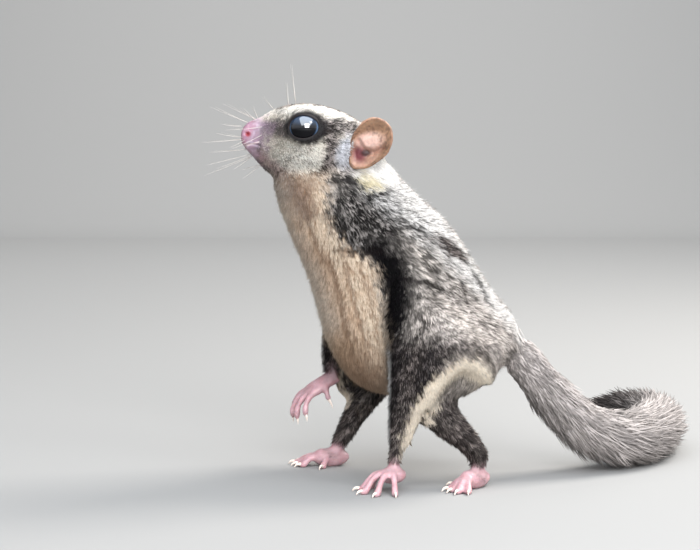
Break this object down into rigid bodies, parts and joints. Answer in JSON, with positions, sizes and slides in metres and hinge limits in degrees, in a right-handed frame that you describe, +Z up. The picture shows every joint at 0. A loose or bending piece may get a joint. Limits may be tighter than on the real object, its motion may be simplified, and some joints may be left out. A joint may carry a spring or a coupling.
{
  "type": "sugar glider",
  "caption": "Small gliding possum as a life-size still model, half upright on one hand and both hind feet, the other hand lifted and the bushy tail laid on the floor.",
  "frame": {"origin": "middle of the bounding box on the floor that the hand, feet and tail rest on", "axes": "-X the way the nose points, -Y the animal's left side, +Z up"},
  "size_m": [0.1556, 0.1512, 0.1233],
  "materials": {
    "fur_grey": "matt, short soft fur",
    "skin_pink": "bare skin",
    "ear_skin": "thin bare skin",
    "eye_dark": "wet and glossy",
    "tail_grey": "long loose fur"
  },
  "bodies": {
    "root": {"head": "fur_grey", "neck": "fur_grey", "torso": "fur_grey", "eye_left": "eye_dark", "eye_right": "eye_dark", "ear_left": "ear_skin", "ear_right": "ear_skin", "arm_left": "fur_grey", "arm_right": "fur_grey", "thigh_left": "fur_grey", "shin_left": "fur_grey", "thigh_right": "fur_grey", "shin_right": "fur_grey", "hand_left": "skin_pink", "hand_right": "skin_pink", "foot_left": "skin_pink", "foot_right": "skin_pink", "membrane_left": "fur_grey", "membrane_right": "fur_grey", "tail_base": "tail_grey", "tail_middle": "tail_grey", "tail_end": "tail_grey"}
  },
  "joints": []
}
